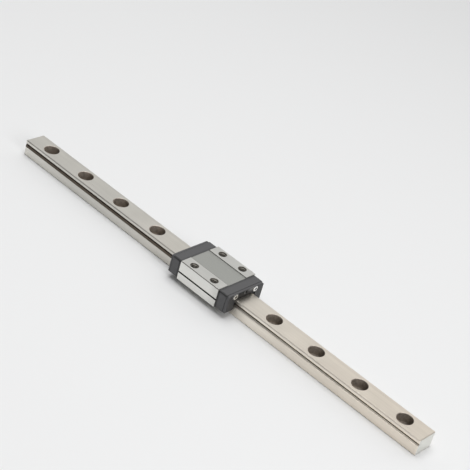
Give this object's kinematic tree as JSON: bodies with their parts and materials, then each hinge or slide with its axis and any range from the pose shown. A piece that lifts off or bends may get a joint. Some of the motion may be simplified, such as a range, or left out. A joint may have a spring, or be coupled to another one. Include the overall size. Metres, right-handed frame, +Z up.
{
  "type": "profile linear guide rail with carriage",
  "caption": "Narrow steel guide rail with counterbored mounting holes and side ball tracks, carrying a short ball-bearing carriage that slides along it and takes a bolted load on top.",
  "frame": {"origin": "middle of the rail's bottom face", "axes": "+X along the rail towards the front end, +Y to the left side, +Z up, out of the carriage's top"},
  "size_m": [0.2, 0.02, 0.01],
  "materials": {
    "rail_steel": "hardened steel, ground lengthways to a satin finish",
    "block_steel": "hardened steel, ground pads and flanks, matt between the pads",
    "cap_plastic": "dark grey moulded plastic with a fine grain",
    "seal_rubber": "dark grey wiper plate with rubber lips, matt",
    "screw_steel": "bright plated steel",
    "ball_steel": "polished bearing steel"
  },
  "bodies": {
    "rail": {"rail": "rail_steel"},
    "carriage": {"carriage_block": "block_steel", "end_cap_front": "cap_plastic", "end_cap_rear": "cap_plastic", "end_seal_front": "seal_rubber", "end_seal_rear": "seal_rubber", "cap_screw_front_left": "screw_steel", "cap_screw_front_right": "screw_steel", "cap_screw_rear_left": "screw_steel", "cap_screw_rear_right": "screw_steel", "balls_left": "ball_steel", "balls_right": "ball_steel"}
  },
  "joints": [
    {"name": "carriage_slide", "type": "slide", "parent": "rail", "child": "carriage", "axis": [1, 0, 0], "range_m": [-0.08655, 0.08455]}
  ]
}
